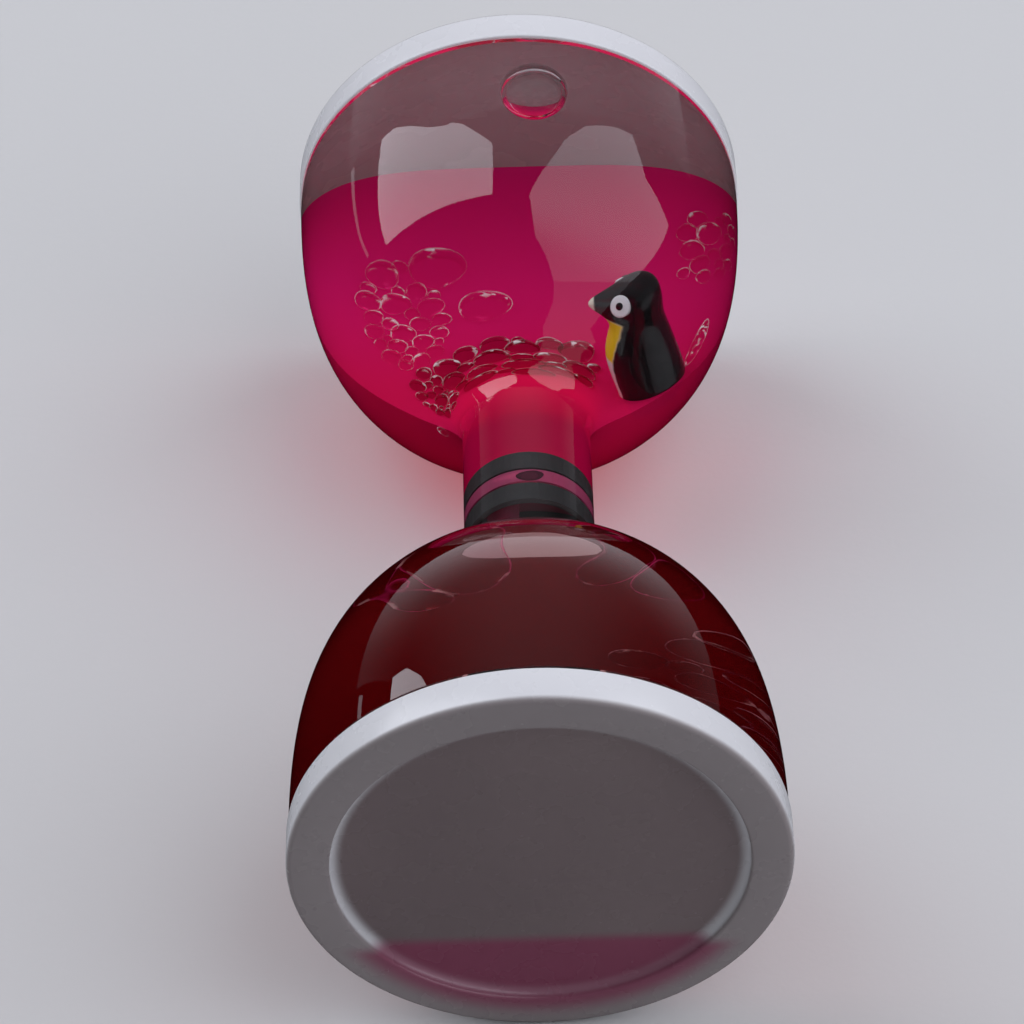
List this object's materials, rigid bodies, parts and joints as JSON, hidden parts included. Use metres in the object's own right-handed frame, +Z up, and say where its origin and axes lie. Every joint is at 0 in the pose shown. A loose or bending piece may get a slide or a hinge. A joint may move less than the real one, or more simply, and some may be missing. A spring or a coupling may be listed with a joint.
{
  "type": "liquid motion timer",
  "caption": "Clear hourglass-shaped liquid motion timer with milky end caps, pink dyed liquid under clear oil and a floating penguin, lying on its side.",
  "frame": {"origin": "on the surface the timer lies on, midway between its two end faces, straight below its axis", "axes": "+Z up, +Y along the timer's axis from the near end cap to the far bulb and its cap, +X to the right as seen facing the near end cap"},
  "size_m": [0.055, 0.112, 0.055],
  "materials": {
    "milky_white": "satin",
    "clear_acrylic": "gloss",
    "seal_rubber": "satin",
    "pink_dye": "gloss",
    "clear_oil": "gloss",
    "penguin_paint": "gloss"
  },
  "bodies": {
    "timer": {"near_cap": "milky_white", "far_cap": "milky_white", "near_bulb": "clear_acrylic", "far_bulb": "clear_acrylic", "neck_sleeve": "clear_acrylic", "near_seal": "seal_rubber", "far_seal": "seal_rubber", "drip_divider": "clear_acrylic", "near_dye": "pink_dye", "near_oil": "clear_oil", "far_dye": "pink_dye", "far_oil": "clear_oil"},
    "penguin": {"penguin_float": "penguin_paint"}
  },
  "joints": [
    {"name": "penguin_drift", "type": "slide", "parent": "timer", "child": "penguin", "axis": [0, 1, 0], "range_m": [0, 0.0235], "deforming": ["far_dye", "far_oil"]}
  ]
}
